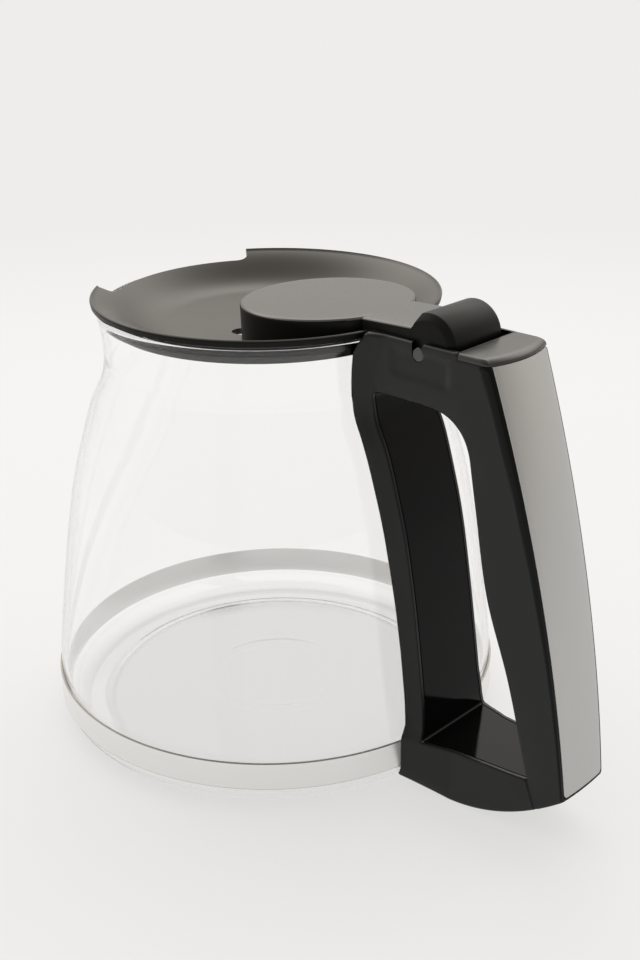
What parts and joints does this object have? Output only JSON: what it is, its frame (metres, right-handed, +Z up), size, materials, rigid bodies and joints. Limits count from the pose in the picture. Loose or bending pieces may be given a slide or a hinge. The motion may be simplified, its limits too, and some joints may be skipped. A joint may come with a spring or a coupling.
{
  "type": "coffee server carafe",
  "caption": "Clear glass coffee server with a dark tip-up lid, a black loop handle with a brushed steel back plate, and a thin steel band round the base.",
  "frame": {"origin": "centre of the flat ring that the jug stands on, on the table", "axes": "+Z up along the jug's axis, +X towards the handle, +Y to the left of someone who holds the handle and looks over the jug"},
  "size_m": [0.1976, 0.146, 0.1486],
  "materials": {
    "clear_glass": "clear blown glass, fire-polished rim",
    "band_steel": "bright rolled strip",
    "screw_steel": "plain zinc plated",
    "frame_plastic": "black, satin outside and polished inside the window",
    "plate_steel": "brushed along its length",
    "lid_plastic": "dark brown-grey, polished",
    "skirt_plastic": "black, satin"
  },
  "bodies": {
    "jug": {"glass_body": "clear_glass", "base_band": "band_steel", "band_screw": "screw_steel", "band_nut": "screw_steel", "handle_frame": "frame_plastic", "grip_shell": "frame_plastic", "grip_screw": "screw_steel", "trim_plate": "plate_steel", "top_cap": "frame_plastic"},
    "lid": {"lid_dish": "lid_plastic", "lid_skirt": "skirt_plastic", "lid_lever": "lid_plastic"}
  },
  "joints": [
    {"name": "lid_hinge", "type": "hinge", "parent": "jug", "child": "lid", "pos_m": [0.0715, 0, 0.1373], "axis": [0, 1, 0], "range_deg": [0, 65]}
  ]
}
